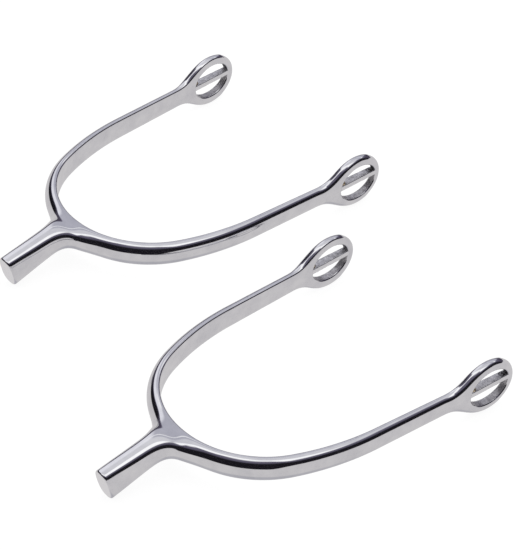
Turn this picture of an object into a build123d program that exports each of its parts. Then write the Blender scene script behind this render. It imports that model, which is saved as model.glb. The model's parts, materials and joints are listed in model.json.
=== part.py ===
"""A pair of plain English riding spurs, lying side by side on a level surface.

Each spur is built in its own frame, in millimetres: +X runs forward from the
heel to the strap loops, +Y is the wearer's left and +Z is up. The frame's
origin is the middle of the heel band's inner face at the heel. The finished
spurs are then tipped to rest on their neck tips and loops, set side by side,
and moved so that the row's origin is the middle of the footprint, on the surface.
"""
import os
from math import atan2, cos, degrees, radians, sin

from build123d import *

# ---- heel band: the inner face's plan is a heel arc, a flank arc and a straight arm
HEEL_RADIUS = 33.3
HEEL_TURN = 68.1
FLANK_RADIUS = 89.0
FLANK_TURN = 19.3
ARM_STRAIGHT = 28.6
BAND_HEIGHT_HEEL = 9.5
BAND_HEIGHT_END = 7.6
BAND_DEPTH_HEEL = 4.7
BAND_DEPTH_END = 3.6
BAND_STATIONS = 21

# ---- strap loops
LOOP_HALF_LENGTH = 11.1
LOOP_HALF_HEIGHT = 10.2
LOOP_DEPTH_ROOT = 4.0
LOOP_DEPTH_TIP = 3.1
LOOP_WALL_ENDS = 2.7
LOOP_WALL_TOP = 3.3
LOOP_THROAT_RADIUS = 7.0
LOOP_SEAM_CLEARANCE = 0.1
LOOP_RIM_ROUND = 1.5
LOOP_INNER_ROUND = 0.6
CENTRE_BEYOND_ARM = 18.0

# ---- strap bars and the braze at their roots
BAR_HEIGHT = 2.1
BAR_RECESS = 0.15
BRAZE_LENGTH = 2.6
BRAZE_HEIGHT = 1.6
BRAZE_RECESS = 0.6
BRAZE_LET_IN = 2.0

# ---- neck
NECK_LENGTH = 27.5
NECK_DROOP = 14.4
NECK_RISE = 3.6
NECK_WIDTH_ROOT = 9.2
NECK_WIDTH_TIP = 7.9
NECK_HEIGHT_ROOT = 8.6
NECK_HEIGHT_TIP = 12.8
NECK_FLARE = 5.5
NECK_FLARE_LENGTH = 10.0
NECK_ROOT_SETTLE = 0.6
NECK_ROOT_INSIDE = 3.0
NECK_TIP_ROUND = 0.5
NECK_STATIONS = 19

# ---- how the pair lies
BACK_SPUR_SHIFT = (36.8, 108.0)
BACK_SPUR_TURN = 2.4

# ---- how far each strap bar sits above the middle of its loop
BAR_RISE = {"left": 0.1, "right": 0.8}


def arm_run():
    """Length of one half of the inner face, from the heel to the band's end."""
    heel_run = HEEL_RADIUS * radians(HEEL_TURN)
    flank_run = FLANK_RADIUS * radians(FLANK_TURN)
    return heel_run + flank_run + ARM_STRAIGHT


def band_point(run):
    """Plan point and turn (radians) of the inner face at a signed distance from the heel."""
    side = 1 if run >= 0 else -1
    run = abs(run)
    heel_turn = radians(HEEL_TURN)
    end_turn = radians(HEEL_TURN + FLANK_TURN)
    heel_run = HEEL_RADIUS * heel_turn
    flank_run = FLANK_RADIUS * radians(FLANK_TURN)
    if run <= heel_run:
        turn = run / HEEL_RADIUS
        return HEEL_RADIUS * (1 - cos(turn)), side * HEEL_RADIUS * sin(turn), side * turn
    x = HEEL_RADIUS * (1 - cos(heel_turn))
    y = HEEL_RADIUS * sin(heel_turn)
    turn = min(heel_turn + (run - heel_run) / FLANK_RADIUS, end_turn)
    x += FLANK_RADIUS * (cos(heel_turn) - cos(turn))
    y += FLANK_RADIUS * (sin(turn) - sin(heel_turn))
    straight = max(0.0, run - heel_run - flank_run)
    x += straight * sin(turn)
    y += straight * cos(turn)
    return x, side * y, side * turn


def band_plane(run):
    """Section plane at a distance from the heel: local x outward, local y up."""
    x, y, turn = band_point(run)
    return Plane(origin=(x, y, 0), x_dir=(-cos(turn), sin(turn), 0), z_dir=(sin(turn), cos(turn), 0))


def band_section(run):
    """Half-round section: flat against the boot, round outside, tapering to the end."""
    taper = abs(run) / arm_run()
    half_height = (BAND_HEIGHT_HEEL + (BAND_HEIGHT_END - BAND_HEIGHT_HEEL) * taper) / 2
    depth = BAND_DEPTH_HEEL + (BAND_DEPTH_END - BAND_DEPTH_HEEL) * taper
    flat = Line((0, half_height), (0, -half_height))
    bow = EllipticalCenterArc((0, 0), depth, half_height, start_angle=-90, arc_size=180)
    return band_plane(run) * make_face(Curve() + [flat, bow])


def heel_band():
    """The U-shaped half-round bar round the boot heel."""
    step = 2 * arm_run() / (BAND_STATIONS - 1)
    sections = [band_section(-arm_run() + index * step) for index in range(BAND_STATIONS)]
    return loft(sections)


def neck_axis_point(distance):
    """Point on the neck's axis, at a distance behind the heel band's outer face."""
    drop = distance * sin(radians(NECK_DROOP))
    back = BAND_DEPTH_HEEL + distance * cos(radians(NECK_DROOP))
    return -back, NECK_RISE - drop


def neck_section(distance, inset=0.0):
    """Oval section of the neck, widened near the band by the root flare."""
    along = max(0.0, distance) / NECK_LENGTH
    width = NECK_WIDTH_ROOT + (NECK_WIDTH_TIP - NECK_WIDTH_ROOT) * along
    height = NECK_HEIGHT_ROOT + (NECK_HEIGHT_TIP - NECK_HEIGHT_ROOT) * along
    flare = max(0.0, 1 - distance / NECK_FLARE_LENGTH)
    width += 2 * NECK_FLARE * flare ** 3
    x, z = neck_axis_point(distance)
    z -= NECK_RISE * NECK_ROOT_SETTLE * flare ** 3
    tilt = radians(NECK_DROOP) * (1 - min(1.0, flare) ** 2)
    plane = Plane(origin=(x, 0, z), x_dir=(0, 1, 0), z_dir=(-cos(tilt), 0, -sin(tilt)))
    return plane * Ellipse(width / 2 - inset, height / 2 - inset)


def neck(band):
    """The blunt shank behind the heel, with its root fitted to the band."""
    tip_start = NECK_LENGTH - NECK_TIP_ROUND
    step = (tip_start + NECK_ROOT_INSIDE) / (NECK_STATIONS - 1)
    distances = [-NECK_ROOT_INSIDE + index * step for index in range(NECK_STATIONS)]
    shank = loft([neck_section(distance) for distance in distances])
    tip = loft([neck_section(tip_start), neck_section(NECK_LENGTH, NECK_TIP_ROUND)], ruled=True)
    return shank + tip - band


def loop_plane():
    """Plane of the right loop's inner face: local x runs forward, y up and z outward."""
    x, y, turn = band_point(arm_run())
    x += CENTRE_BEYOND_ARM * sin(turn)
    y += CENTRE_BEYOND_ARM * cos(turn)
    return Plane(origin=(x, -y, 0), x_dir=(sin(turn), -cos(turn), 0), z_dir=(-cos(turn), -sin(turn), 0))


def loop_blank():
    """A loop before its slots are cut: an oval disc and the stub that meets the arm."""
    stub = Pos(-CENTRE_BEYOND_ARM / 2, 0) * Rectangle(CENTRE_BEYOND_ARM, BAND_HEIGHT_END)
    blank = extrude(Ellipse(LOOP_HALF_LENGTH, LOOP_HALF_HEIGHT) + stub, LOOP_DEPTH_ROOT)
    throats = blank.edges().filter_by(Axis.Z).filter_by_position(Axis.X, -LOOP_HALF_LENGTH, 0)
    blank = fillet(throats, LOOP_THROAT_RADIUS)
    blank = split(blank, bisect_by=outer_face_plane(), keep=Keep.BOTTOM)
    blank = fillet(loop_rim(blank, -1), LOOP_RIM_ROUND)
    return fillet(loop_rim(blank, 0), LOOP_INNER_ROUND)


def loop_rim(blank, face_index):
    """Edges round the outer (-1) or inner (0) face of a loop, except the one at the arm."""
    face = blank.faces().sort_by(Axis.Z)[face_index]
    start = LOOP_SEAM_CLEARANCE - CENTRE_BEYOND_ARM
    return face.edges().filter_by_position(Axis.X, start, LOOP_HALF_LENGTH)


def outer_face_plane(recess=0.0):
    """Sloping plane of a loop's outer face, or one that lies a little inside it."""
    slope = atan2(LOOP_DEPTH_ROOT - LOOP_DEPTH_TIP, 2 * LOOP_HALF_LENGTH)
    origin = (-LOOP_HALF_LENGTH, 0, LOOP_DEPTH_ROOT - recess)
    return Plane(origin=origin, z_dir=(sin(slope), 0, cos(slope)))


def eye_opening():
    """The oval hole in a loop, which the strap bar divides."""
    return Ellipse(LOOP_HALF_LENGTH - LOOP_WALL_ENDS, LOOP_HALF_HEIGHT - LOOP_WALL_TOP)


def recessed(flat_shape, recess):
    """Solid of a flat shape, a little inside both faces of the loop."""
    solid = Pos(0, 0, recess) * extrude(flat_shape, LOOP_DEPTH_ROOT)
    return split(solid, bisect_by=outer_face_plane(recess), keep=Keep.BOTTOM)


def strap_bar(rise):
    """The flat bar across a loop, its ends fitted to the wall of the oval hole."""
    strip = Pos(0, rise) * Rectangle(2 * LOOP_HALF_LENGTH, BAR_HEIGHT)
    return recessed(strip & eye_opening(), BAR_RECESS)


def braze(rise):
    """Small wedge of filler where the top of a strap bar meets the loop's wall."""
    bar_top = rise + BAR_HEIGHT / 2
    root = LOOP_WALL_ENDS - LOOP_HALF_LENGTH
    slope = BRAZE_HEIGHT / BRAZE_LENGTH
    wedge = Polygon(
        (root - BRAZE_LET_IN, bar_top),
        (root + BRAZE_LENGTH, bar_top),
        (root - BRAZE_LET_IN, bar_top + slope * (BRAZE_LENGTH + BRAZE_LET_IN)),
        align=None,
    )
    return recessed(wedge & eye_opening(), BRAZE_RECESS)


def spur_pieces():
    """Every piece of one spur, by name, in the spur's own frame."""
    band = heel_band()
    pieces = {"heel_band": band, "neck": neck(band)}
    for side, rise in BAR_RISE.items():
        loop = loop_blank() - extrude(eye_opening(), LOOP_DEPTH_ROOT)
        eye = {"loop": loop, "bar": strap_bar(rise), "braze": braze(rise)}
        for name, solid in eye.items():
            placed = loop_plane() * solid
            pieces[f"{side}_{name}"] = placed if side == "right" else mirror(placed, Plane.XZ)
    return pieces


def rest_location(pieces):
    """Location that sets a spur down on its neck tip and its two loops."""
    neck_box = pieces["neck"].bounding_box()
    loop_box = pieces["left_loop"].bounding_box()
    loop_x = loop_box.max.X - LOOP_HALF_LENGTH
    pitch = degrees(atan2(neck_box.min.Z - loop_box.min.Z, loop_x - neck_box.min.X))
    tipped = Rot(Y=-pitch)
    lowest = min((tipped * piece).bounding_box().min.Z for piece in pieces.values())
    return Pos(Z=-lowest) * tipped


def pair_of_spurs():
    """Every node of the pair, by name, in the row's frame."""
    pieces = spur_pieces()
    rest = rest_location(pieces)
    places = {"front": rest, "back": Pos(*BACK_SPUR_SHIFT) * Rot(Z=BACK_SPUR_TURN) * rest}
    nodes = {}
    for spur, place in places.items():
        for name, piece in pieces.items():
            nodes[f"{spur}_{name}"] = place * piece
    middle = Compound(list(nodes.values())).bounding_box().center()
    return {name: Pos(-middle.X, -middle.Y) * node for name, node in nodes.items()}


def main():
    """Write one STEP file for each node."""
    os.makedirs("parts", exist_ok=True)
    for name, node in pair_of_spurs().items():
        export_step(node, f"parts/{name}.step")


if __name__ == "__main__":
    main()
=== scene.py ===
"""A pair of polished steel English spurs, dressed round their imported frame.

Each spur is shaped in its own frame, in millimetres: x runs forward from the heel to
the strap loops, y is the wearer's left and z is up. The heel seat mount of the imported
record says where that frame lies. One smooth form gives the heel band, the neck and
both strap loops their skin, so the polished surface runs over the joints without a
step, and the form is then parted into closed pieces, one for each part of the frame.
The strap bars and the beads of braze are small forms of their own.
"""
import json
import logging
from dataclasses import dataclass, field
from enum import Enum
from functools import partial
from math import cos, radians, sin
from typing import Any, Callable, Mapping, Sequence

import bmesh
import bpy
import numpy as np
from mathutils import Matrix, Vector


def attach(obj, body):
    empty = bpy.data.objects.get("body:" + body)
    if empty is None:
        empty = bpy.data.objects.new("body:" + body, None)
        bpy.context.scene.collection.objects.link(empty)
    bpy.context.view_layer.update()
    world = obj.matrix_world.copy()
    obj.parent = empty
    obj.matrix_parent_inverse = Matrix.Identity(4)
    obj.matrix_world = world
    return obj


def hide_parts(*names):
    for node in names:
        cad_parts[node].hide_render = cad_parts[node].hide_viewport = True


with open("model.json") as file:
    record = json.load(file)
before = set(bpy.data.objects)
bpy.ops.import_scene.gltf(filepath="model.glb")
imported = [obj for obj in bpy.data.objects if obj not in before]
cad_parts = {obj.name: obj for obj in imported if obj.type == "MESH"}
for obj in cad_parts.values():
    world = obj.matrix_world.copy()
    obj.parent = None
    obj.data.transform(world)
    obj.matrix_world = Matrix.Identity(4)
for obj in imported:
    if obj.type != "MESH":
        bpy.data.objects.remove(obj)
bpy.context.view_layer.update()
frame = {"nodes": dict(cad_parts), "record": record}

LOG = logging.getLogger("spurs")
MILLIMETRE = 0.001
NORMAL_LAYER = "form_normal"

Field = Callable[[np.ndarray], np.ndarray]
Number = np.ndarray | float
Span = tuple[float, float]
Way = tuple[float, float, float]
Colour = tuple[float, float, float, float]
Plane = tuple[Vector, Vector]
Socket = bpy.types.NodeSocket
Value = Socket | float | Sequence[float]

RISING: Span = (0.0, 1.0)
FALLING: Span = (1.0, 0.0)
OVAL_POWER = 2.0
NEAR_NOUGHT = 1e-9

# Each rippled surface, and the edge of the painted slot shade, has its own waves.
BAR_SEED, SHADE_SEED, BRAZE_SEED = 1.0, 2.0, 4.0

# Newton steps onto a form: the longest one, in millimetres, the least squared slope that
# one divides by, and how many are taken first, after each relaxing and at the end.
LONGEST_STEP = 0.4
GENTLEST_SLOPE = 0.05
FIRST_STEPS, RELAX_STEPS, LAST_STEPS = 6, 2, 4

# A relaxed point goes this share of the way to the mean of its neighbours.
RELAX_SHARE = 0.6

# A bead's skin: how often the ball's faces are split, and how often each ray is halved.
BALL_SPLITS = 5
RAY_HALVINGS = 20

# How close to a cutting plane a point counts as on it, in millimetres.
CUT_TOLERANCE = 1e-5
CAP_TOLERANCE = 1e-3


class Finish(Enum):
    """The record's material slots."""

    POLISHED = "polished_steel"
    CAST = "cast_steel"
    BRAZE = "braze_metal"


class Side(Enum):
    """The two arms of a spur, by the sign of y."""

    LEFT = 1
    RIGHT = -1


# ------------------------------------------------------------------ smooth form maths


def smoothstep(value: np.ndarray, low: float, high: float) -> np.ndarray:
    """Smooth rise from 0 at low to 1 at high."""
    t = np.clip((value - low) / (high - low), 0.0, 1.0)
    return t * t * t * (t * (6.0 * t - 15.0) + 10.0)


def lerp(start: Number, end: Number, share: Number) -> Number:
    """Value a share of the way from start to end."""
    return start + (end - start) * share


def soft_union(a: np.ndarray, b: np.ndarray, reach: float) -> np.ndarray:
    """Union of two distances, with a fillet that starts a reach away from each."""
    overlap = np.maximum(reach - np.abs(a - b), 0.0)
    return np.minimum(a, b) - overlap * overlap / (4.0 * reach)


def round_cut(a: np.ndarray, b: np.ndarray, radius: float) -> np.ndarray:
    """Intersection of two distances, with a rounded edge.

    Args:
        a: Distances to the first shape.
        b: Distances to the second shape.
        radius: Radius of the edge.

    Returns:
        Distances to what the two shapes share.
    """
    over_a = np.maximum(radius + a, 0.0)
    over_b = np.maximum(radius + b, 0.0)
    return np.minimum(-radius, np.maximum(a, b)) + np.hypot(over_a, over_b)


def oval_distance(
    x: np.ndarray, y: np.ndarray, half_x: Number, half_y: Number, power: Number = OVAL_POWER
) -> np.ndarray:
    """Distance to an oval, right to first order at its edge.

    Args:
        x: Offset from the centre along the first half axis.
        y: Offset from the centre along the second half axis.
        half_x: First half axis.
        half_y: Second half axis.
        power: 2 for a true oval, and more for a squarer one.

    Returns:
        The distance, negative inside.
    """
    across, up = np.abs(x / half_x), np.abs(y / half_y)
    near = (across**power + up**power) ** (1.0 / power)
    slope = np.hypot(across ** (power - 1.0) / half_x, up ** (power - 1.0) / half_y)
    at_edge = near ** (power - 1.0) / np.maximum(slope, NEAR_NOUGHT)
    scale = np.where(near > 1e-3, at_edge, np.minimum(half_x, half_y))
    return (near - 1.0) * scale


def ripple(points: np.ndarray, pitch: float, seed: float) -> np.ndarray:
    """Smooth uneven waves through space.

    Args:
        points: Points, one per row.
        pitch: Rough length of a wave.
        seed: Number that shifts the waves.

    Returns:
        One value for each point, from about -1 to 1.
    """
    x, y, z = (points * (2.0 * np.pi / pitch)).T
    first = np.sin(x + 1.7 * np.sin(0.83 * y + seed) + 0.6 * z)
    second = np.sin(1.13 * y + 1.4 * np.sin(0.71 * z + 2.1 * seed) - 0.5 * x)
    third = np.sin(0.91 * z + 1.9 * np.sin(0.77 * x + 3.3 * seed) + 0.4 * y)
    return (first + second + third) / 3.0


def slope_of(form: Field, points: np.ndarray, step: float = 0.004) -> np.ndarray:
    """Gradient of a form, by central differences.

    Args:
        form: The form.
        points: Points, one per row.
        step: How far to each side the form is sampled.

    Returns:
        One gradient for each point.
    """
    slopes = np.empty_like(points)
    for axis in range(3):
        offset = np.zeros(3)
        offset[axis] = step
        slopes[:, axis] = form(points + offset) - form(points - offset)
    return slopes / (2.0 * step)


def unit(rows: np.ndarray) -> np.ndarray:
    """Rows scaled to length 1."""
    return rows / np.maximum(np.linalg.norm(rows, axis=1, keepdims=True), NEAR_NOUGHT)


def settled(form: Field, points: np.ndarray, rounds: int) -> np.ndarray:
    """Points moved onto a form's surface.

    Args:
        form: The form, zero on its surface.
        points: Points near the surface, one per row.
        rounds: How many Newton steps each point takes.

    Returns:
        The moved points.
    """
    for _ in range(rounds):
        slope = slope_of(form, points)
        steepness = np.maximum((slope * slope).sum(axis=1), GENTLEST_SLOPE)
        move = -(form(points) / steepness)[:, None] * slope
        length = np.linalg.norm(move, axis=1, keepdims=True)
        points = points + move * np.minimum(1.0, LONGEST_STEP / np.maximum(length, 1e-12))
    return points


# ------------------------------------------------------------------ the parts' shapes


@dataclass(frozen=True)
class HeelBand:
    """The U-shaped half-round bar: flat against the boot and round outside."""

    heel_radius: float = 33.3
    heel_turn: float = radians(68.1)
    flank_radius: float = 89.0
    flank_turn: float = radians(19.3)
    arm_straight: float = 28.6
    half_height_heel: float = 4.75
    half_height_end: float = 3.8
    depth_heel: float = 4.7
    depth_end: float = 3.6
    edge: float = 0.85

    @property
    def arm_run(self) -> float:
        """Length of one arm's inner face, from the middle of the heel."""
        return self.flank_end + self.arm_straight

    @property
    def flank_end(self) -> float:
        """Length of the inner face up to where the arm runs straight."""
        return self.heel_radius * self.heel_turn + self.flank_radius * self.flank_turn

    def place(self, x: np.ndarray, y: np.ndarray) -> tuple[np.ndarray, np.ndarray]:
        """Run along the inner face and offset outward from it.

        Args:
            x: Forward positions.
            y: Sideways positions, none of them negative.

        Returns:
            The run from the middle of the heel, and the offset.
        """
        turn = np.arctan2(y, self.heel_radius - x)
        run = self.heel_radius * turn
        offset = np.hypot(self.heel_radius - x, y) - self.heel_radius
        swing = self.flank_radius - self.heel_radius
        centre_x = self.heel_radius + swing * cos(self.heel_turn)
        centre_y = -swing * sin(self.heel_turn)
        flank = np.arctan2(y - centre_y, centre_x - x)
        on_flank = turn > self.heel_turn
        past_heel = flank - self.heel_turn
        flank_run = self.heel_radius * self.heel_turn + self.flank_radius * past_heel
        flank_offset = np.hypot(centre_x - x, y - centre_y) - self.flank_radius
        run = np.where(on_flank, flank_run, run)
        offset = np.where(on_flank, flank_offset, offset)
        end_turn = self.heel_turn + self.flank_turn
        along_x, along_y = sin(end_turn), cos(end_turn)
        end_x = centre_x - self.flank_radius * along_y
        end_y = centre_y + self.flank_radius * along_x
        straight = (x - end_x) * along_x + (y - end_y) * along_y
        straight_offset = (y - end_y) * along_x - (x - end_x) * along_y
        on_straight = on_flank & (straight > 0)
        run = np.where(on_straight, self.flank_end + straight, run)
        offset = np.where(on_straight, straight_offset, offset)
        return run, offset

    def half_height(self, run: np.ndarray) -> np.ndarray:
        """Half the bar's height at a run from the heel."""
        share = np.clip(run / self.arm_run, 0.0, 1.0)
        return lerp(self.half_height_heel, self.half_height_end, share)

    def depth(self, run: np.ndarray) -> np.ndarray:
        """The bar's depth at a run from the heel."""
        share = np.clip(run / self.arm_run, 0.0, 1.0)
        return lerp(self.depth_heel, self.depth_end, share)


@dataclass(frozen=True)
class Neck:
    """The blunt oval shank behind the heel, with its flared root."""

    length: float = 27.45
    droop: float = radians(14.4)
    rise: float = 3.6
    half_width_root: float = 4.5
    half_width_tip: float = 3.8
    half_height_root: float = 4.3
    half_height_tip: float = 6.05
    settle: float = 0.6
    settle_length: float = 10.0
    flare_reach: float = 11.0
    flare_width: float = 9.0
    root: Span = (-5.0, 5.0)
    squareness: float = 2.5
    tip_round: float = 0.7
    faced: Span = (-0.25, -0.05)

    def axis_height(self, along: np.ndarray) -> np.ndarray:
        """Height of the shank's middle at a distance behind the band."""
        dip = np.clip(1.0 - along / self.settle_length, 0.0, 1.0) ** 3
        return self.rise * (1.0 - self.settle * dip) - along * sin(self.droop)

    def half_width(self, along: np.ndarray) -> np.ndarray:
        """Half the shank's width at a distance behind the band."""
        return lerp(self.half_width_root, self.half_width_tip, np.clip(along / self.length, 0, 1))

    def half_height(self, along: np.ndarray) -> np.ndarray:
        """Half the shank's upright height at a distance behind the band."""
        share = np.clip(along / self.length, 0, 1.1)
        return lerp(self.half_height_root, self.half_height_tip, share) / cos(self.droop)


@dataclass(frozen=True)
class StrapLoop:
    """The oval loop at an arm's end, with the bar across its hole."""

    half_length: float = 11.1
    half_height: float = 10.15
    depth_root: float = 4.0
    depth_tip: float = 3.1
    wall_ends: float = 2.7
    wall_top: float = 3.3
    beyond_arm: float = 18.0
    throat_reach: float = 7.5
    rim_round: float = 2.35
    inner_round: float = 0.9
    widest: float = 0.42
    hole_edge: float = 0.62
    bar_half_height: float = 1.05
    bar_recess: float = 0.15
    bar_edge: float = 0.35
    bar_bite: float = 0.4
    bar_wobble: float = 0.05
    bar_wave: float = 3.1
    rise: dict[Side, float] = field(default_factory=lambda: {Side.LEFT: 0.1, Side.RIGHT: 0.8})

    def depth(self, along: np.ndarray) -> np.ndarray:
        """The loop's depth at a distance forward of its middle."""
        share = np.clip((along + self.half_length) / (2.0 * self.half_length), 0.0, 1.1)
        return lerp(self.depth_root, self.depth_tip, share)

    def hole(self, along: np.ndarray, height: np.ndarray) -> np.ndarray:
        """Distance to the loop's oval hole, negative inside it."""
        half_width, half_rise = self.half_length - self.wall_ends, self.half_height - self.wall_top
        return oval_distance(along, height, half_width, half_rise)


@dataclass(frozen=True)
class Lump:
    """One oval lump of braze, placed from the top of the bar's root."""

    along: float
    height: float
    offset: float
    half_length: float
    half_height: float
    half_depth: float


@dataclass(frozen=True)
class Braze:
    """The bead of braze at a bar's root: lumps that have run together."""

    lumps: tuple[Lump, ...] = (
        Lump(0.5, 0.35, 0.0, 1.5, 0.95, 1.25),
        Lump(1.6, 0.05, 0.35, 1.15, 0.5, 0.85),
        Lump(0.15, 1.1, -0.25, 0.7, 0.95, 0.85),
    )
    run_together: float = 0.7
    wobble: float = 0.07
    wave: float = 1.3


@dataclass(frozen=True)
class SlotShade:
    """The corners of the upper slot, where dark shade is painted on the wall."""

    along: float = 6.6
    height: float = 3.4
    tip_size: tuple[float, float] = (2.6, 2.0)
    root_size: tuple[float, float] = (1.3, 1.2)
    root_drop: float = 1.0
    wobble: float = 0.25
    wave: float = 1.1
    fade: Span = (0.5, 1.2)


@dataclass(frozen=True)
class SpurForm:
    """The whole spur as one smooth form, with what was left rough or crisp on it, and where shade
    is painted.
    """

    band: HeelBand = HeelBand()
    neck: Neck = Neck()
    loop: StrapLoop = StrapLoop()
    bead: Braze = Braze()
    # Where near-black shade is painted in the corners of the upper slot.
    slot_shade: SlotShade = SlotShade()
    blend: Span = (-20.0, -9.0)
    heel_reach: float = 62.0
    neck_seam: float = 5.4
    tip_reach: float = 31.5
    evened_heel: float = 0.85
    evened_arms: float = 0.035
    evened_edges: float = 0.02
    evened_fade: Span = (10.0, 26.0)
    edge_fade: Span = (0.7, 2.2)
    no_edge: float = 9.0
    cast_wall: Span = (0.05, 0.3)
    cast_face: Span = (0.3, 0.65)

    def arm_place(self, points: np.ndarray) -> tuple[np.ndarray, np.ndarray, np.ndarray]:
        """Distance forward of the loop's middle, outward offset and height of each point."""
        run, offset = self.band.place(points[:, 0], np.abs(points[:, 1]))
        return run - self.band.arm_run - self.loop.beyond_arm, offset, points[:, 2]

    def neck_reach(self, points: np.ndarray) -> np.ndarray:
        """How far back each point lies along the neck's axis."""
        back = -(points[:, 0] + self.band.depth_heel)
        return back * cos(self.neck.droop) + (self.neck.rise - points[:, 2]) * sin(self.neck.droop)

    def arm(self, points: np.ndarray) -> np.ndarray:
        """Distance to an arm and its loop, before the hole is cut.

        Args:
            points: Points in the spur's frame, one per row.

        Returns:
            One distance for each point, negative inside.
        """
        along, offset, height = self.arm_place(points)
        run = along + self.band.arm_run + self.loop.beyond_arm
        share = smoothstep(along, *self.blend)
        half_height = self.band.half_height(run)
        strip = np.maximum(np.abs(height) - half_height, along)
        disc = oval_distance(along, height, self.loop.half_length, self.loop.half_height)
        outline = soft_union(strip, disc, self.loop.throat_reach)
        depth = lerp(self.band.depth(run), self.loop.depth(along), share)
        widest = lerp(self.band.edge, self.loop.widest * depth, share)
        rim = lerp(half_height, self.loop.rim_round, share)
        inner = lerp(self.band.edge, self.loop.inner_round, share)
        outer_skin = oval_distance(
            np.maximum(outline + rim, 0.0), np.maximum(offset - widest, 0.0), rim, depth - widest
        )
        inner_skin = oval_distance(
            np.maximum(outline + inner, 0.0), np.maximum(widest - offset, 0.0), inner, widest
        )
        return np.maximum(outer_skin, inner_skin)

    def heel(self, points: np.ndarray) -> np.ndarray:
        """Distance to the heel of the band with its neck.

        Args:
            points: Points in the spur's frame, one per row.

        Returns:
            One distance for each point, negative inside.
        """
        x, y, z = points.T
        run, offset = self.band.place(x, np.abs(y))
        behind = -(x + self.band.depth_heel) / cos(self.neck.droop)
        width = self.neck.half_width(behind)
        depth = self.band.depth(run)
        plan = soft_union(offset - depth, np.abs(y) - width, self.neck.flare_reach)
        beside = 1.0 - smoothstep(np.abs(y) - width, 0.0, self.neck.flare_width)
        share = smoothstep(behind, *self.neck.root) * beside
        middle = self.neck.axis_height(behind) * share
        half_height = lerp(self.band.half_height(run), self.neck.half_height(behind), share)
        edge = self.band.edge
        rim = lerp(depth - edge, width, share)
        power = lerp(OVAL_POWER, self.neck.squareness, share)
        skin = oval_distance(np.maximum(plan + rim, 0.0), z - middle, rim, half_height, power)
        inner = oval_distance(
            np.maximum(np.abs(z - middle) - half_height + edge, 0.0),
            np.maximum(edge - offset, 0.0), edge, edge,
        )
        end = self.neck_reach(points)
        tipped = round_cut(skin, end - self.neck.length, self.neck.tip_round)
        return np.maximum(tipped, inner)

    def body(self, points: np.ndarray) -> np.ndarray:
        """Distance to the band, neck and loops as one solid, holes cut.

        Args:
            points: Points in the spur's frame, one per row.

        Returns:
            One distance for each point, negative inside.
        """
        along, _, height = self.arm_place(points)
        arm = self.arm(points)
        holed = round_cut(arm, -self.loop.hole(along, height), self.loop.hole_edge)
        near_loop = along > -self.loop.half_length
        arm = np.where(near_loop, holed, arm)
        run = along + self.band.arm_run + self.loop.beyond_arm
        return np.where(run < self.heel_reach, self.heel(points), arm)

    def bar(self, side: Side, points: np.ndarray) -> np.ndarray:
        """Distance to a strap bar, its ends let into the loop's wall.

        Args:
            side: The arm that the bar belongs to.
            points: Points in the spur's frame, one per row.

        Returns:
            One distance for each point, negative inside.
        """
        along, offset, height = self.arm_place(points)
        loop = self.loop
        depth = loop.depth(along)
        half_depth = depth / 2.0 - loop.bar_recess
        wobble = loop.bar_wobble * ripple(points, loop.bar_wave, BAR_SEED)
        tall = np.abs(height - loop.rise[side]) - loop.bar_half_height + wobble
        deep = np.abs(offset - depth / 2.0) - half_depth
        strip = round_cut(tall, deep, loop.bar_edge)
        return np.maximum(strip, loop.hole(along, height) - loop.bar_bite)

    def braze(self, side: Side, points: np.ndarray) -> np.ndarray:
        """Distance to the bead of braze on top of a bar's root.

        Args:
            side: The arm that the bead belongs to.
            points: Points in the spur's frame, one per row.

        Returns:
            One distance for each point, negative inside.
        """
        along, offset, height = self.arm_place(points)
        root = self.loop.wall_ends - self.loop.half_length
        top = self.loop.rise[side] + self.loop.bar_half_height
        mid = self.loop.depth_root / 2.0
        beads = []
        for lump in self.bead.lumps:
            scaled = np.stack([
                (along - (root + lump.along)) / lump.half_length,
                (height - (top + lump.height)) / lump.half_height,
                (offset - (mid + lump.offset)) / lump.half_depth,
            ])
            least = min(lump.half_length, lump.half_height, lump.half_depth)
            beads.append((np.linalg.norm(scaled, axis=0) - 1.0) * least)
        form = beads[0]
        for bead in beads[1:]:
            form = soft_union(form, bead, self.bead.run_together)
        return form + self.bead.wobble * ripple(points, self.bead.wave, BRAZE_SEED)

    def grain(self, points: np.ndarray) -> np.ndarray:
        """Place of each point along and across the direction it was polished in.

        Args:
            points: Points in the spur's frame, one per row.

        Returns:
            One place for each point, its first value along the grain.
        """
        run, offset = self.band.place(points[:, 0], np.abs(points[:, 1]))
        on_neck = (points[:, 0] < -self.neck_seam)[:, None]
        along_arm = np.stack([run * np.sign(points[:, 1]), offset, points[:, 2]], axis=1)
        return np.where(on_neck, points, along_arm)

    def as_cast(self, points: np.ndarray) -> np.ndarray:
        """Where a loop's hole and bar were left as cast.

        Args:
            points: Points in the spur's frame, one per row.

        Returns:
            1 for a point left as cast, and 0 for one rubbed bright.
        """
        along, offset, height = self.arm_place(points)
        past_wall = self.loop.hole(along, height)
        depth = self.loop.depth(along)
        face_gap = depth / 2.0 - np.abs(offset - depth / 2.0)
        in_hole = 1.0 - smoothstep(past_wall, *self.cast_wall)
        cast = in_hole * smoothstep(face_gap, *self.cast_face)
        return np.where(along > -self.loop.half_length, cast, 0.0)

    def painted_shade(self, points: np.ndarray) -> np.ndarray:
        """Where shade is painted in the corners of the upper slot.

        Args:
            points: Points in the spur's frame, one per row.

        Returns:
            1 for a point deep in a corner with painted shade, and 0 for one without.
        """
        along, _, height = self.arm_place(points)
        slot_shade = self.slot_shade
        rise = height - slot_shade.height
        tip = np.hypot((along - slot_shade.along) / slot_shade.tip_size[0], rise / slot_shade.tip_size[1])
        drop = rise + slot_shade.root_drop
        root = np.hypot((along + slot_shade.along) / slot_shade.root_size[0], drop / slot_shade.root_size[1])
        uneven = slot_shade.wobble * ripple(points, slot_shade.wave, SHADE_SEED)
        return 1.0 - smoothstep(np.minimum(tip, root) + uneven, *slot_shade.fade)

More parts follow.
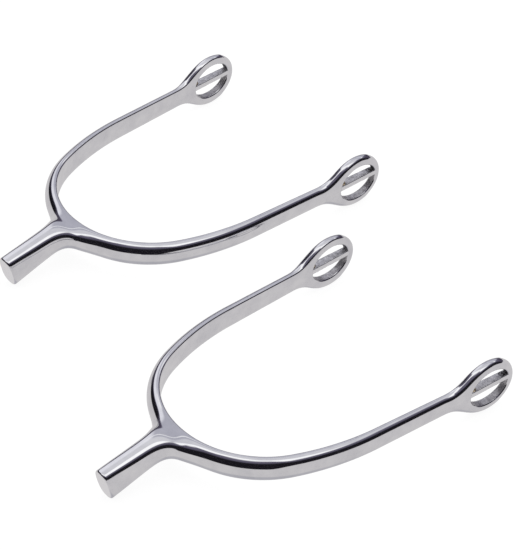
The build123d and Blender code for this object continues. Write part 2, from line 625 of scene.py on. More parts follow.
    def faced(self, points: np.ndarray) -> np.ndarray:
        """1 on the neck's end, which was faced flat, and 0 elsewhere."""
        start, end = (self.neck.length + short for short in self.neck.faced)
        return smoothstep(self.neck_reach(points), start, end)

    def evenness(self, points: np.ndarray) -> np.ndarray:
        """How far hand polishing has evened out each point.

        Args:
            points: Points in the spur's frame, one per row.

        Returns:
            Near 1 round the heel, little along the arms and next to nothing at crisp edges.
        """
        along, offset, height = self.arm_place(points)
        near_loop = along > -self.loop.half_length
        from_hole = np.where(near_loop, np.abs(self.loop.hole(along, height)), self.no_edge)
        from_tip = np.abs(points[:, 0] + self.tip_reach)
        clear = np.minimum(np.minimum(from_hole, np.abs(offset)), from_tip)
        from_junction = np.hypot(points[:, 0] + self.neck_seam, points[:, 1])
        share = smoothstep(from_junction, *self.evened_fade)
        evened = lerp(self.evened_heel, self.evened_arms, share)
        return lerp(self.evened_edges, evened, smoothstep(clear, *self.edge_fade))


# ------------------------------------------------------------------ mesh work


@dataclass
class Skin:
    """A closed mesh in a spur's own frame, in millimetres."""

    points: np.ndarray
    faces: list[tuple[int, ...]]
    normals: np.ndarray | None = None
    links: np.ndarray | None = None

    @classmethod
    def of_nodes(cls, names: Sequence[str], to_spur: Matrix, voxel: float) -> "Skin":
        """Even skin round some of the frame's nodes.

        Args:
            names: The nodes, which may touch each other.
            to_spur: Transform from the row frame to the spur's own.
            voxel: Size of the skin's faces, in millimetres.

        Returns:
            The skin, as one closed mesh.
        """
        joined = bmesh.new()
        for name in names:
            joined.from_mesh(frame["nodes"][name].data)
        bmesh.ops.remove_doubles(joined, verts=joined.verts, dist=1e-7)
        bmesh.ops.transform(joined, matrix=to_spur, verts=joined.verts)
        mesh = bpy.data.meshes.new("skin_start")
        joined.to_mesh(mesh)
        joined.free()
        holder = bpy.data.objects.new("skin_start", mesh)
        bpy.context.scene.collection.objects.link(holder)
        remesh = holder.modifiers.new("even_skin", "REMESH")
        remesh.mode = "VOXEL"
        remesh.voxel_size = voxel
        evaluated = holder.evaluated_get(bpy.context.evaluated_depsgraph_get())
        shell = evaluated.to_mesh()
        points = np.empty(len(shell.vertices) * 3)
        shell.vertices.foreach_get("co", points)
        faces = [tuple(face.vertices) for face in shell.polygons]
        evaluated.to_mesh_clear()
        bpy.data.objects.remove(holder)
        bpy.data.meshes.remove(mesh)
        return cls(points.reshape(-1, 3), faces)

    @classmethod
    def bead(cls, form: Field, centre: np.ndarray, reach: float) -> "Skin":
        """Even skin round a lump, found along rays from a point inside it.

        Args:
            form: The lump's form, zero on its surface.
            centre: A point inside the lump.
            reach: Farthest that the lump goes from its centre.

        Returns:
            The skin, as one closed mesh.
        """
        ball = bmesh.new()
        bmesh.ops.create_icosphere(ball, subdivisions=BALL_SPLITS, radius=1.0)
        rays = np.array([corner.co[:] for corner in ball.verts])
        faces = [tuple(corner.index for corner in face.verts) for face in ball.faces]
        ball.free()
        inside, outside = np.zeros(len(rays)), np.full(len(rays), reach)
        for _ in range(RAY_HALVINGS):
            middle = (inside + outside) / 2.0
            within = form(centre + rays * middle[:, None]) < 0.0
            inside = np.where(within, middle, inside)
            outside = np.where(within, outside, middle)
        return cls(centre + rays * inside[:, None], faces)

    def fitted(self, form: Field, relaxings: int = 6) -> "Skin":
        """This skin drawn onto a form, with its faces evened out on the way.

        Args:
            form: The form, zero on its surface.
            relaxings: How many times the faces are evened out.

        Returns:
            The fitted skin.
        """
        points = settled(form, self.points, FIRST_STEPS)
        for _ in range(relaxings):
            points = settled(form, lerp(points, self._around(points), RELAX_SHARE), RELAX_STEPS)
        points = settled(form, points, LAST_STEPS)
        return Skin(points, self.faces, unit(slope_of(form, points)))

    def _around(self, values: np.ndarray) -> np.ndarray:
        """Mean of the values at each point's neighbours.

        Args:
            values: One row of values for each point.

        Returns:
            The means, in the same rows.
        """
        if self.links is None:
            rings = ((face, face[1:] + face[:1]) for face in self.faces)
            self.links = np.array([pair for face, onward in rings for pair in zip(face, onward)])
        start, end = self.links.T
        size = len(values)
        count = np.maximum(np.bincount(start, minlength=size), 1)
        means = [np.bincount(start, column[end], size) / count for column in values.T]
        return np.stack(means, axis=1)

    def evened(self, share: np.ndarray, rounds: int) -> "Skin":
        """This skin evened out, as a polishing wheel would.

        Args:
            share: How far each point and its normal move towards their neighbours in a round.
            rounds: How many rounds for the normals; the points take half as many.

        Returns:
            The evened skin.
        """
        points, normals = self.points, self.normals
        for turn in range(rounds):
            normals = unit(lerp(normals, self._around(normals), share[:, None]))
            if turn % 2 == 0:
                points = lerp(points, self._around(points), RELAX_SHARE * share[:, None])
        return Skin(points, self.faces, normals)

    def to_bmesh(self) -> bmesh.types.BMesh:
        """The skin as a bmesh.

        Returns:
            The bmesh, with the normals kept in a layer of their own.
        """
        mesh = bmesh.new()
        layer = mesh.verts.layers.float_vector.new(NORMAL_LAYER)
        corners = [mesh.verts.new(point) for point in self.points]
        for corner, normal in zip(corners, self.normals):
            corner[layer] = normal
        for face in self.faces:
            mesh.faces.new([corners[index] for index in face])
        return mesh


def parted(whole: bmesh.types.BMesh, point: Vector, normal: Vector) -> bmesh.types.BMesh:
    """Closed part of a mesh on the side of a plane that its normal points away from.

    Args:
        whole: The closed mesh, which isn't changed.
        point: A point on the plane.
        normal: The plane's normal.

    Returns:
        The part, with a cap where it was cut.
    """
    part = whole.copy()
    everything = part.verts[:] + part.edges[:] + part.faces[:]
    bmesh.ops.bisect_plane(
        part, geom=everything, dist=CUT_TOLERANCE,
        plane_co=point, plane_no=normal, clear_outer=True,
    )
    rim = [edge for edge in part.edges if edge.is_boundary]
    bmesh.ops.contextual_create(part, geom=rim)
    return part


@dataclass
class Piece:
    """One closed piece of a spur, ready to be set in the scene."""

    name: str
    node: str
    finish: Finish
    shape: bmesh.types.BMesh
    planes: tuple[Plane, ...] = ()

    def mesh(self, spur: SpurForm, to_row: Matrix) -> bpy.types.Mesh:
        """The piece's mesh in the row frame, with the form's own normals.

        Args:
            spur: The form that places the grain, the cast walls, the painted slot shade and the
                faced end.
            to_row: Transform from the spur's frame, in millimetres, to the row frame.

        Returns:
            The mesh, with its grain, as_cast and faced attributes, and one for the painted slot
            shade.
        """
        mesh = bpy.data.meshes.new(self.name)
        self.shape.to_mesh(mesh)
        points = np.empty(len(mesh.vertices) * 3)
        mesh.vertices.foreach_get("co", points)
        points = points.reshape(-1, 3)
        grain = mesh.attributes.new("grain", "FLOAT_VECTOR", "POINT")
        grain.data.foreach_set("vector", spur.grain(points).ravel())
        # One of these masks marks where near-black shade is painted in the slot corners.
        for name, mask in (("as_cast", spur.as_cast), ("painted_shade", spur.painted_shade), ("faced", spur.faced)):
            painted = mesh.attributes.new(name, "FLOAT", "POINT")
            painted.data.foreach_set("value", mask(points))
        kept = np.empty(len(points) * 3)
        mesh.attributes[NORMAL_LAYER].data.foreach_get("vector", kept)
        slopes = unit(kept.reshape(-1, 3))
        turn = np.array(to_row.to_3x3().normalized())
        corner_points = np.empty(len(mesh.loops), dtype=np.int32)
        mesh.loops.foreach_get("vertex_index", corner_points)
        normals = slopes[corner_points] @ turn.T
        mesh.transform(to_row)
        mesh.shade_smooth()
        for plane_point, plane_normal in self.planes:
            self._flatten_cap(mesh, points, normals, plane_point, plane_normal, turn)
        mesh.normals_split_custom_set(normals.tolist())
        return mesh

    @staticmethod
    def _flatten_cap(
        mesh: bpy.types.Mesh, points: np.ndarray, normals: np.ndarray,
        plane_point: Vector, plane_normal: Vector, turn: np.ndarray,
    ) -> None:
        """Give the cap on one cutting plane a flat face and a sharp rim.

        Args:
            mesh: The piece's mesh.
            points: Its points in the spur's frame.
            normals: The corners' normals, changed in place.
            plane_point: A point on the plane, in the spur's frame.
            plane_normal: The plane's normal, in the spur's frame.
            turn: Rotation from the spur's frame to the row frame.
        """
        away = (points - np.array(plane_point)) @ np.array(plane_normal)
        on_plane = np.abs(away) < CAP_TOLERANCE
        sharp = set()
        for face in mesh.polygons:
            if all(on_plane[index] for index in face.vertices):
                face.use_smooth = False
                sharp.update(face.edge_keys)
                for corner in face.loop_indices:
                    normals[corner] = turn @ np.array(plane_normal)
        for edge in mesh.edges:
            if edge.key in sharp:
                edge.use_edge_sharp = True


# ------------------------------------------------------------------ finishes


@dataclass
class NodeBench:
    """Short calls for laying out a shader node tree."""

    tree: bpy.types.NodeTree

    def add(
        self, kind: str, inputs: Mapping[str | int, Value] | None = None, **settings: Any
    ) -> bpy.types.Node:
        """Add one node.

        Args:
            kind: The node's type name, without its ShaderNode prefix.
            inputs: Values or sockets to put on its inputs, by name or number.
            **settings: Properties to set on the node.

        Returns:
            The node.
        """
        node = self.tree.nodes.new(f"ShaderNode{kind}")
        for name, value in settings.items():
            setattr(node, name, value)
        for socket, value in (inputs or {}).items():
            if isinstance(value, Socket):
                self.tree.links.new(value, node.inputs[socket])
            else:
                node.inputs[socket].default_value = value
        return node

    def maths(self, operation: str, *values: Value) -> Socket:
        """Result of a Math node on some values or sockets."""
        return self.add("Math", dict(enumerate(values)), operation=operation).outputs[0]

    def vector_maths(self, operation: str, *values: Value) -> bpy.types.Node:
        """Vector Math node on some values or sockets."""
        return self.add("VectorMath", dict(enumerate(values)), operation=operation)

    def remap(self, value: Socket, span: Span, to: Span = RISING, kind: str = "LINEAR") -> Socket:
        """Value carried from one range to another and held inside it.

        Args:
            value: The value.
            span: Where it starts and ends.
            to: What those two ends become.
            kind: LINEAR or SMOOTHSTEP.

        Returns:
            The carried value.
        """
        ends = {"From Min": span[0], "From Max": span[1], "To Min": to[0], "To Max": to[1]}
        node = self.add("MapRange", {"Value": value, **ends}, interpolation_type=kind)
        return node.outputs["Result"]

    def ease(self, value: Socket, span: Span, to: Span = RISING) -> Socket:
        """Remap with soft ends."""
        return self.remap(value, span, to, "SMOOTHSTEP")

    def blend(self, share: Value, first: Value, second: Value) -> Socket:
        """Mix of two colours, given as sockets or as colours."""
        return self.add("Mix", {0: share, 6: first, 7: second}, data_type="RGBA").outputs[2]

    def mix(self, share: Value, first: Value, second: Value) -> Socket:
        """Mix of two numbers, given as sockets or as numbers."""
        return self.add("Mix", {0: share, 2: first, 3: second}, data_type="FLOAT").outputs[0]

    def painted(self, name: str) -> Socket:
        """One of the masks that the pieces' meshes carry."""
        return self.add("Attribute", attribute_name=name).outputs["Fac"]

    def noise(self, place: Socket, scale: Value, detail: float, roughness: float = 0.5) -> Socket:
        """Noise through space, from 0 to 1."""
        inputs = {"Vector": place, "Scale": scale, "Detail": detail, "Roughness": roughness}
        return self.add("TexNoise", inputs).outputs["Fac"]

    def bump(self, height: Socket, distance: float, under: Socket | None = None) -> Socket:
        """Normal of a surface raised by a height.

        Args:
            height: The height, from 0 to 1.
            distance: How far a height of 1 rises, in metres.
            under: Normal of the surface beneath, if it is itself raised.

        Returns:
            The normal.
        """
        beneath = {} if under is None else {"Normal": under}
        inputs = {"Height": height, "Distance": distance, **beneath}
        return self.add("Bump", inputs).outputs["Normal"]


@dataclass
class Group:
    """A shader node group with named sockets, and a bench to lay it out on."""

    name: str
    inputs: Mapping[str, float | None]
    outputs: Sequence[str]

    def __post_init__(self) -> None:
        """Make the empty group: a number for each input, or a vector where it has none."""
        self.tree = bpy.data.node_groups.new(self.name, "ShaderNodeTree")
        for label, default in self.inputs.items():
            kind = "NodeSocketVector" if default is None else "NodeSocketFloat"
            socket = self.tree.interface.new_socket(label, in_out="INPUT", socket_type=kind)
            if default is not None:
                socket.default_value = default
        for label in self.outputs:
            self.tree.interface.new_socket(label, in_out="OUTPUT", socket_type="NodeSocketFloat")
        self.bench = NodeBench(self.tree)
        self.given = self.tree.nodes.new("NodeGroupInput").outputs
        self.results = self.tree.nodes.new("NodeGroupOutput").inputs

    def put(self, label: str, value: Socket) -> None:
        """Send a value out of the group."""
        self.tree.links.new(value, self.results[label])


@dataclass(frozen=True)
class HandPolish:
    """Buffing left by hand: slow waves, fine drawn lines and patches of haze."""

    wave_scale: float = 90.0
    wave_detail: float = 1.0
    line_scale: float = 9.0
    line_squeeze: Way = (0.05, 1.0, 1.0)
    line_detail: float = 4.0
    line_roughness: float = 0.7
    haze_scale: float = 160.0
    haze_detail: float = 5.0
    haze_roughness: float = 0.62
    haze_span: Span = (0.35, 0.7)

    def group(self) -> bpy.types.NodeTree:
        """Build the node group.

        Returns:
            The group, with Waves, Lines and Haze outputs that run from 0 to 1.
        """
        inputs = {
            "Place": None, "Grain": None,
            "Wave Scale": self.wave_scale, "Line Scale": self.line_scale,
        }
        group = Group("hand_polish", inputs, ("Waves", "Lines", "Haze"))
        given, bench = group.given, group.bench
        waves = bench.noise(given["Place"], given["Wave Scale"], self.wave_detail)
        drawn = bench.vector_maths("MULTIPLY", given["Grain"], self.line_squeeze).outputs[0]
        lines = bench.noise(drawn, given["Line Scale"], self.line_detail, self.line_roughness)
        haze = bench.noise(given["Place"], self.haze_scale, self.haze_detail, self.haze_roughness)
        group.put("Waves", waves)
        group.put("Lines", lines)
        group.put("Haze", bench.remap(haze, self.haze_span))
        return group.tree


@dataclass(frozen=True)
class CastSkin:
    """The sandy skin of a casting: grains, pits and a mottled tone."""

    grain_scale: float = 2600.0
    grain_detail: float = 3.0
    grain_roughness: float = 0.65
    pit_scale: float = 700.0
    pit_span: Span = (0.0, 0.4)
    pit_share: float = 0.35
    mottle_detail: float = 4.0
    mottle_span: Span = (0.3, 0.7)

    def group(self) -> bpy.types.NodeTree:
        """Build the node group.

        Returns:
            The group, with Grains and Mottle outputs that run from 0 to 1.
        """
        inputs = {"Place": None, "Grain Scale": self.grain_scale, "Pit Scale": self.pit_scale}
        group = Group("cast_skin", inputs, ("Grains", "Mottle"))
        given, bench = group.given, group.bench
        place, pit_scale = given["Place"], given["Pit Scale"]
        grains = bench.noise(place, given["Grain Scale"], self.grain_detail, self.grain_roughness)
        pits = bench.add("TexVoronoi", {"Vector": place, "Scale": pit_scale}).outputs["Distance"]
        mottle = bench.noise(place, pit_scale, self.mottle_detail)
        group.put("Grains", bench.mix(self.pit_share, grains, bench.ease(pits, self.pit_span)))
        group.put("Mottle", bench.remap(mottle, self.mottle_span))
        return group.tree


@dataclass(frozen=True)
class Shared:
    """The node groups that the finishes share."""

    polish: bpy.types.NodeTree
    cast: bpy.types.NodeTree


class Metal:
    """A metal material being laid out, with the shared cast skin placed in it."""

    def __init__(self, finish: Finish, shared: Shared) -> None:
        """Start a material with a bare Principled shader.

        Args:
            finish: The finish that names the material.
            shared: The shared node groups.
        """
        self.material = bpy.data.materials.new(finish.value)
        self.material.use_nodes = True
        self.shader = self.material.node_tree.nodes["Principled BSDF"]
        self.shader.inputs["Metallic"].default_value = 1.0
        self.bench = NodeBench(self.material.node_tree)
        self.place = self.bench.add("TexCoord").outputs["Object"]
        self.cast = self.bench.add("Group", {"Place": self.place}, node_tree=shared.cast)

    def polish(self, shared: Shared) -> bpy.types.bpy_prop_collection:
        """Place the hand polish in the material.

        Args:
            shared: The shared node groups.

        Returns:
            The group's outputs.
        """
        grain = self.bench.add("Attribute", attribute_name="grain").outputs["Vector"]
        inputs = {"Place": self.place, "Grain": grain}
        return self.bench.add("Group", inputs, node_tree=shared.polish).outputs

    def finish(self, colour: Socket, roughness: Socket, normal: Socket) -> bpy.types.Material:
        """Join the colour, roughness and normal to the shader.

        Args:
            colour: The metal's colour.
            roughness: Its roughness.
            normal: Its normal.

        Returns:
            The finished material.
        """
        ends = {"Base Color": colour, "Roughness": roughness, "Normal": normal}
        for name, value in ends.items():
            self.material.node_tree.links.new(value, self.shader.inputs[name])
        return self.material


@dataclass(frozen=True)
class PolishedSteel:
    """Mirror-polished stainless steel, with the loops' hole walls left as cast."""

    bright: Colour = (0.86, 0.86, 0.87, 1.0)
    dull: Colour = (0.74, 0.74, 0.765, 1.0)
    faced: Colour = (0.985, 0.985, 0.99, 1.0)
    cast_light: Colour = (0.7, 0.69, 0.7, 1.0)
    cast_dark: Colour = (0.34, 0.33, 0.345, 1.0)
    # Near-black painted shade for the corners of the upper slot.
    painted_shade: Colour = (0.008, 0.007, 0.009, 1.0)
    roughness: Span = (0.035, 0.11)
    cast_roughness: float = 0.5
    wave_depth: float = 0.000014
    line_depth: float = 0.0000010
    grain_depth: float = 0.00008

    def material(self, shared: Shared) -> bpy.types.Material:
        """Build the material.

        Args:
            shared: The shared node groups.

        Returns:
            The material.
        """
        metal = Metal(Finish.POLISHED, shared)
        bench, polish, cast = metal.bench, metal.polish(shared), metal.cast.outputs
        as_cast = bench.painted("as_cast")
        steel = bench.blend(polish["Haze"], self.bright, self.dull)
        steel = bench.blend(bench.painted("faced"), steel, self.faced)
        wall = bench.blend(cast["Mottle"], self.cast_light, self.cast_dark)
        # The hole wall turns near black in the slot corners: painted shade.
        wall = bench.blend(bench.painted("painted_shade"), wall, self.painted_shade)
        sheen = bench.remap(polish["Haze"], RISING, self.roughness)
        waves = bench.bump(polish["Waves"], self.wave_depth)
        lines = bench.bump(polish["Lines"], self.line_depth, waves)
        sand = bench.maths("MULTIPLY", cast["Grains"], as_cast)
        return metal.finish(
            bench.blend(as_cast, steel, wall),
            bench.mix(as_cast, sheen, self.cast_roughness),
            bench.bump(sand, self.grain_depth, lines),
        )


@dataclass(frozen=True)
class CastSteel:
    """Grey steel left as cast, its edges rubbed a little brighter."""

    light: Colour = (0.88, 0.875, 0.885, 1.0)
    dark: Colour = (0.5, 0.495, 0.505, 1.0)
    # Near-black painted shade where a bar runs into the slot corners.
    painted_shade: Colour = (0.02, 0.019, 0.022, 1.0)
    rubbed: Colour = (0.84, 0.84, 0.85, 1.0)
    rubbed_roughness: float = 0.2
    roughness: Span = (0.36, 0.56)
    grain_depth: float = 0.00009
    wave_depth: float = 0.00003

    def material(self, shared: Shared) -> bpy.types.Material:
        """Build the material.

        Args:
            shared: The shared node groups.

        Returns:
            The material.
        """
        metal = Metal(Finish.CAST, shared)
        bench, polish, cast = metal.bench, metal.polish(shared), metal.cast.outputs
        as_cast = bench.painted("as_cast")
        skin = bench.blend(cast["Mottle"], self.light, self.dark)
        # The bar turns near black in the slot corners: painted shade.
        skin = bench.blend(bench.painted("painted_shade"), skin, self.painted_shade)
        rough = bench.remap(polish["Haze"], RISING, self.roughness)
        waves = bench.bump(polish["Waves"], self.wave_depth)
        grains = bench.maths("MULTIPLY", cast["Grains"], as_cast)
        return metal.finish(
            bench.blend(as_cast, self.rubbed, skin),
            bench.mix(as_cast, self.rubbed_roughness, rough),
            bench.bump(grains, self.grain_depth, waves),
        )


@dataclass(frozen=True)
class BrazeMetal:
    """Yellowish brown filler metal, dulled by heat."""

    fresh: Colour = (0.88, 0.76, 0.55, 1.0)
    burnt: Colour = (0.42, 0.32, 0.2, 1.0)
    roughness: Span = (0.3, 0.6)
    grain_scale: float = 1800.0
    pit_scale: float = 900.0
    grain_depth: float = 0.00007

    def material(self, shared: Shared) -> bpy.types.Material:
        """Build the material.

        Args:
            shared: The shared node groups.

        Returns:
            The material.
        """
        metal = Metal(Finish.BRAZE, shared)
        bench, cast = metal.bench, metal.cast.outputs
        metal.cast.inputs["Grain Scale"].default_value = self.grain_scale
        metal.cast.inputs["Pit Scale"].default_value = self.pit_scale
        return metal.finish(
            bench.blend(cast["Mottle"], self.fresh, self.burnt),
            bench.remap(cast["Mottle"], RISING, self.roughness),
            bench.bump(cast["Grains"], self.grain_depth),
        )


# ------------------------------------------------------------------ the pair


def mount(name: str) -> dict[str, Any]:
    """One of the record's mounts, by its name."""
    return next(entry for entry in frame["record"]["mounts"] if entry["name"] == name)


@dataclass
class Spur:
    """One spur of the pair, placed by its heel seat mount."""

    name: str
    form: SpurForm
    voxel: float = 0.32
    bar_voxel: float = 0.2
    braze_voxel: float = 0.12
    braze_reach: float = 4.0
    evening_rounds: int = 110
    fitting_relaxings: int = 20

    @property
    def to_row(self) -> Matrix:
        """Transform from the spur's frame, in millimetres, to the row frame.

        Returns:
            The transform.
        """
        seat = mount(f"{self.name}_heel_seat")
        forward = Vector(seat["axis"]).normalized()
        left = Vector((0.0, 0.0, 1.0)).cross(forward).normalized()
        up = forward.cross(left)
        turn = Matrix((forward, left, up)).transposed().to_4x4()
        return Matrix.Translation(seat["pos_m"]) @ turn @ Matrix.Scale(MILLIMETRE, 4)

    def arm_frame(self, side: Side) -> tuple[Vector, Vector]:
        """Seam between an arm and its loop.

        Args:
            side: The arm.

        Returns:
            A point on the seam, and the arm's forward direction there.
        """
        band = self.form.band
        end_turn = band.heel_turn + band.flank_turn
        forward = Vector((sin(end_turn), side.value * cos(end_turn), 0.0))
        swing = band.flank_radius - band.heel_radius
        x = band.heel_radius + swing * cos(band.heel_turn) - band.flank_radius * cos(end_turn)
        y = -swing * sin(band.heel_turn) + band.flank_radius * sin(end_turn)
        return Vector((x, side.value * y, 0.0)) + forward * band.arm_straight, forward

    def body_pieces(self) -> list[Piece]:
        """The heel band, the neck and both loops, parted from one smooth skin.

        Returns:
            The four pieces.
        """
        nodes = [f"{self.name}_{part}" for part in ("heel_band", "neck", "left_loop", "right_loop")]
        start = Skin.of_nodes(nodes, self.to_row.inverted(), self.voxel)
        fitted = start.fitted(self.form.body)
        whole = fitted.evened(self.form.evenness(fitted.points), self.evening_rounds).to_bmesh()
        bmesh.ops.recalc_face_normals(whole, faces=whole.faces)
        seam = Vector((-self.form.neck_seam, 0.0, 0.0))
        back = Vector((-1.0, 0.0, 0.0))
        pieces = [self._piece("neck", parted(whole, seam, -back), ((seam, -back),))]
        planes = [(seam, back)]
        for side in Side:
            point, forward = self.arm_frame(side)
            half = parted(whole, Vector(), Vector((0.0, -side.value, 0.0)))
            loop = parted(half, point, -forward)
            half.free()
            pieces.append(self._piece(f"{side.name.lower()}_loop", loop, ((point, -forward),)))
            planes.append((point, forward))
        band = self._band_of(whole, planes)
        pieces.append(self._piece("heel_band", band, tuple(planes)))
        whole.free()
        return pieces

    def _band_of(self, whole: bmesh.types.BMesh, planes: Sequence[Plane]) -> bmesh.types.BMesh:
        """The skin with everything beyond some planes cut away and capped.

        Args:
            whole: The closed skin, which isn't changed.
            planes: The planes, each with its normal pointing at what goes.

        Returns:
            What is left of the skin.
        """
        band = whole.copy()
        for point, normal in planes:
            trimmed = parted(band, point, normal)
            band.free()
            band = trimmed
        return band

    def _piece(self, part: str, shape: bmesh.types.BMesh, planes: tuple[Plane, ...]) -> Piece:
        """A polished piece that stands for one node."""
        name = f"{self.name}_polished_{part}"
        return Piece(name, f"{self.name}_{part}", Finish.POLISHED, shape, planes)

    def fittings(self) -> list[Piece]:
        """The strap bars and the beads of braze.

        Returns:
            A bar and a bead for each side.
        """
        pieces = []
        to_spur = self.to_row.inverted()
        for side in Side:
            label = f"{self.name}_{side.name.lower()}"
            bar, braze = partial(self.form.bar, side), partial(self.form.braze, side)
            strip = Skin.of_nodes([f"{label}_bar"], to_spur, self.bar_voxel)
            lump = Skin.of_nodes([f"{label}_braze"], to_spur, self.braze_voxel)
            bead = Skin.bead(braze, lump.points.mean(axis=0), self.braze_reach)
            fitted = strip.fitted(bar, self.fitting_relaxings).to_bmesh()
            pieces.append(Piece(f"{label}_strap_bar", f"{label}_bar", Finish.CAST, fitted))
            fitted = bead.fitted(braze, self.fitting_relaxings).to_bmesh()
            pieces.append(Piece(f"{label}_braze_bead", f"{label}_braze", Finish.BRAZE, fitted))
        return pieces

    def build(self, body: str, materials: dict[Finish, bpy.types.Material]) -> None:
        """Make, dress and place every piece of the spur.

        Args:
            body: The frame's body that the pieces ride on.
            materials: The material for each finish.
        """
        to_row = self.to_row
        for piece in self.body_pieces() + self.fittings():
            mesh = piece.mesh(self.form, to_row)
            mesh.materials.append(materials[piece.finish])
            thing = bpy.data.objects.new(piece.name, mesh)
            bpy.context.scene.collection.objects.link(thing)
            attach(thing, body)
            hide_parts(piece.node)
            piece.shape.free()
            LOG.info("%s: %d faces, rides on %s", piece.name, len(mesh.polygons), body)


# ------------------------------------------------------------------ studio


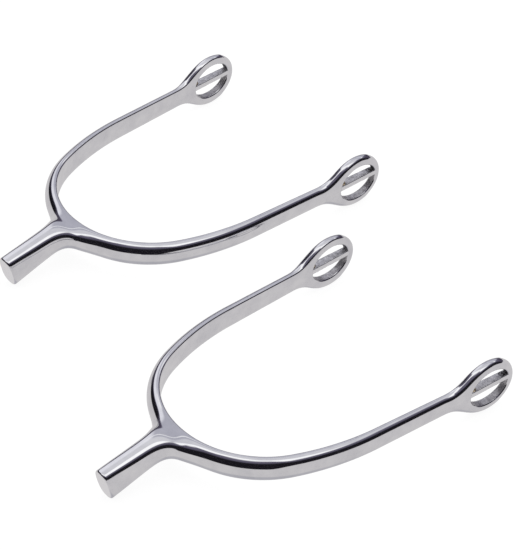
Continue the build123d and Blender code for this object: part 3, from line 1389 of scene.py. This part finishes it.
@dataclass(frozen=True)
class Studio:
    """A pale table in a soft white studio, dark low down on the camera's side."""

    floor_half: float = 3.0
    floor_white: Colour = (0.16, 0.16, 0.16, 1.0)
    floor_glow: float = 0.87
    # Slants over which the painted contact shadow on the table fades out.
    steep_shadow: Span = (0.03, 0.16)
    clip_start: float = 0.01
    camera_distance: float = 0.9195
    camera_elevation: float = radians(39.0)
    camera_roll: float = radians(2.6)
    lens: float = 172.85
    aim: Way = (0.07282, 0.04983, 0.0)
    ahead: tuple[float, float] = (0.6505, 0.7595)
    back_way: Way = (-0.866, -0.5, 0.0)
    side_way: Way = (0.259, -0.966, 0.0)
    plain_white: Colour = (1.0, 1.0, 1.0, 1.0)
    table_low: Colour = (0.63, 0.615, 0.625, 1.0)
    # Painted contact shadow: the table's tone in reflections that look steeply down beneath the
    # spur.
    table_shadow: Colour = (0.47, 0.465, 0.5, 1.0)
    white: Colour = (1.15, 1.15, 1.16, 1.0)
    pale: Colour = (0.7, 0.7, 0.74, 1.0)
    lavender: Colour = (0.48, 0.48, 0.55, 1.0)
    left_glow: Colour = (0.84, 0.84, 0.9, 1.0)
    light_line: Colour = (0.95, 0.95, 0.97, 1.0)
    purple: Colour = (0.13, 0.12, 0.17, 1.0)
    near_black: Colour = (0.010, 0.009, 0.013, 1.0)
    far_dark: Colour = (0.07, 0.062, 0.09, 1.0)
    dark_turn: Span = (-0.9, 0.0)
    dark_tops: Span = (0.2, 0.83)
    right_turn: Span = (-0.5, 0.1)
    right_extra: Span = (0.0, 0.4)
    behind_turn: Span = (0.45, 0.72)
    behind_extra: Span = (0.0, 0.12)
    near_turn: Span = (-0.45, 0.0)
    black_turn: Span = (-0.75, -0.4)
    purple_climb: Span = (0.7, 0.92)
    dark_edge: Span = (0.97, 1.05)
    table_turn: Span = (0.72, 0.93)
    table_tops: Span = (0.0, 0.2)
    table_fade: Span = (0.0, 0.03)
    left_turn: Span = (-0.86, -0.7)
    line_start: Span = (0.645, 0.675)
    line_end: Span = (0.69, 0.73)
    pale_heights: Span = (0.78, 0.88)
    softbox_size: float = 1.2
    softbox_power: float = 3.0
    softbox_place: Way = (0.1, 0.2, 1.1)

    def camera(self) -> None:
        """Set up the camera, aimed at a point fixed to the front spur's heel."""
        target = Vector(mount("front_heel_seat")["pos_m"]) + Vector(self.aim)
        level, fall = cos(self.camera_elevation), sin(self.camera_elevation)
        forward = Vector((self.ahead[0] * level, self.ahead[1] * level, -fall))
        right = Vector((self.ahead[1], -self.ahead[0], 0.0))
        up = right.cross(forward)
        tilt = cos(self.camera_roll), sin(self.camera_roll)
        rolled_right = right * tilt[0] + up * tilt[1]
        rolled_up = up * tilt[0] - right * tilt[1]
        turn = Matrix((rolled_right, rolled_up, -forward)).transposed().to_4x4()
        data = bpy.data.cameras.new("camera")
        data.lens = self.lens
        data.clip_start = self.clip_start
        camera = bpy.data.objects.new("camera", data)
        camera.matrix_world = Matrix.Translation(target - forward * self.camera_distance) @ turn
        bpy.context.scene.collection.objects.link(camera)
        bpy.context.scene.camera = camera

    def floor(self) -> None:
        """Lay the table."""
        half = self.floor_half
        mesh = bpy.data.meshes.new("table")
        corners = [(-half, -half, 0.0), (half, -half, 0.0), (half, half, 0.0), (-half, half, 0.0)]
        mesh.from_pydata(corners, [], [(0, 1, 2, 3)])
        table = bpy.data.objects.new("table", mesh)
        bpy.context.scene.collection.objects.link(table)
        material = bpy.data.materials.new("table_top")
        material.use_nodes = True
        tree = material.node_tree
        tree.nodes.clear()
        bench = NodeBench(tree)
        lit = bench.add("BsdfDiffuse", {"Color": self.floor_white})
        glow = bench.add("Emission", {"Color": self.plain_white, "Strength": self.floor_glow})
        seen = bench.add("AddShader", {0: lit.outputs[0], 1: glow.outputs[0]}).outputs[0]
        # Glossy rays that look steeply down see the table darker: a painted contact shadow under
        # the spur.
        slant = bench.add("LayerWeight", {"Blend": 0.5}).outputs["Facing"]
        steep_shadow = bench.ease(slant, self.steep_shadow, FALLING)
        tone = bench.blend(steep_shadow, self.table_low, self.table_shadow)
        mirrored = bench.add("Emission", {"Color": tone, "Strength": 1.0}).outputs[0]
        glossy = bench.add("LightPath").outputs["Is Glossy Ray"]
        both = bench.add("MixShader", {0: glossy, 1: seen, 2: mirrored}).outputs[0]
        bench.add("OutputMaterial", {"Surface": both})
        mesh.materials.append(material)

    def surroundings(self) -> None:
        """Light the studio: white above, dark low on the near side, lavender grey beyond."""
        world = bpy.data.worlds.new("studio")
        world.use_nodes = True
        bpy.context.scene.world = world
        tree = world.node_tree
        tree.nodes.clear()
        bench = NodeBench(tree)
        facing = bench.add("TexCoord").outputs["Generated"]
        height = bench.add("SeparateXYZ", {0: facing}).outputs["Z"]
        level = bench.vector_maths("MULTIPLY", facing, (1.0, 1.0, 0.0)).outputs[0]
        level = bench.vector_maths("NORMALIZE", level).outputs[0]
        back = bench.vector_maths("DOT_PRODUCT", level, self.back_way).outputs["Value"]
        side = bench.vector_maths("DOT_PRODUCT", level, self.side_way).outputs["Value"]
        climb = bench.maths("DIVIDE", height, self._dark_top(bench, back, side))
        dark = bench.blend(bench.ease(back, self.black_turn), self.far_dark, self.near_black)
        dusk = bench.blend(bench.ease(climb, self.purple_climb), dark, self.purple)
        table_edge = bench.ease(side, self.table_turn, self.table_tops)
        over_table = bench.ease(bench.maths("SUBTRACT", height, table_edge), self.table_fade)
        dusk = bench.blend(over_table, self.table_low, dusk)
        to_left = bench.ease(side, self.left_turn, FALLING)
        low_sky = bench.blend(to_left, self.lavender, self.left_glow)
        above, past = bench.ease(height, self.line_start), bench.ease(height, self.line_end)
        line = bench.maths("SUBTRACT", above, past)
        beyond = bench.blend(line, low_sky, self.light_line)
        beyond = bench.blend(bench.ease(height, self.pale_heights), beyond, self.pale)
        sky = bench.blend(bench.ease(back, self.near_turn), beyond, self.white)
        room = bench.blend(bench.ease(climb, self.dark_edge), dusk, sky)
        glossy = bench.add("LightPath").outputs["Is Glossy Ray"]
        shown = bench.blend(glossy, self.plain_white, room)
        light = bench.add("Background", {"Color": shown, "Strength": 1.0})
        bench.add("OutputWorld", {"Surface": light.outputs[0]})

    def _dark_top(self, bench: NodeBench, back: Socket, side: Socket) -> Socket:
        """Height up to which the studio is dark, all the way round.

        Args:
            bench: The bench to lay the nodes out on.
            back: How far each direction turns towards the camera's side.
            side: How far it turns to the right.

        Returns:
            The height, as the upward part of a direction.
        """
        top = bench.ease(back, self.dark_turn, self.dark_tops)
        right = bench.ease(side, self.right_turn, self.right_extra)
        top = bench.maths("MINIMUM", bench.maths("ADD", top, right), self.dark_tops[1])
        return bench.maths("ADD", top, bench.ease(back, self.behind_turn, self.behind_extra))

    def softbox(self) -> None:
        """Hang one broad soft light over the table."""
        data = bpy.data.lights.new("softbox", "AREA")
        data.shape = "RECTANGLE"
        data.size = data.size_y = self.softbox_size
        data.energy = self.softbox_power
        lamp = bpy.data.objects.new("softbox", data)
        lamp.location = self.softbox_place
        lamp.visible_glossy = False
        bpy.context.scene.collection.objects.link(lamp)

    def set_up(self) -> None:
        """Build the whole studio."""
        bpy.context.scene.view_settings.view_transform = "Standard"
        self.camera()
        self.floor()
        self.surroundings()
        self.softbox()


def main() -> None:
    """Build the pair and the studio, and note the sizes."""
    logging.basicConfig(level=logging.INFO, format="%(name)s: %(message)s")
    shared = Shared(HandPolish().group(), CastSkin().group())
    finishes = {
        Finish.POLISHED: PolishedSteel(), Finish.CAST: CastSteel(), Finish.BRAZE: BrazeMetal(),
    }
    materials = {finish: maker.material(shared) for finish, maker in finishes.items()}
    form = SpurForm()
    for name in ("front", "back"):
        Spur(name, form).build(f"{name}_spur", materials)
    Studio().set_up()


if __name__ == "__main__":
    main()
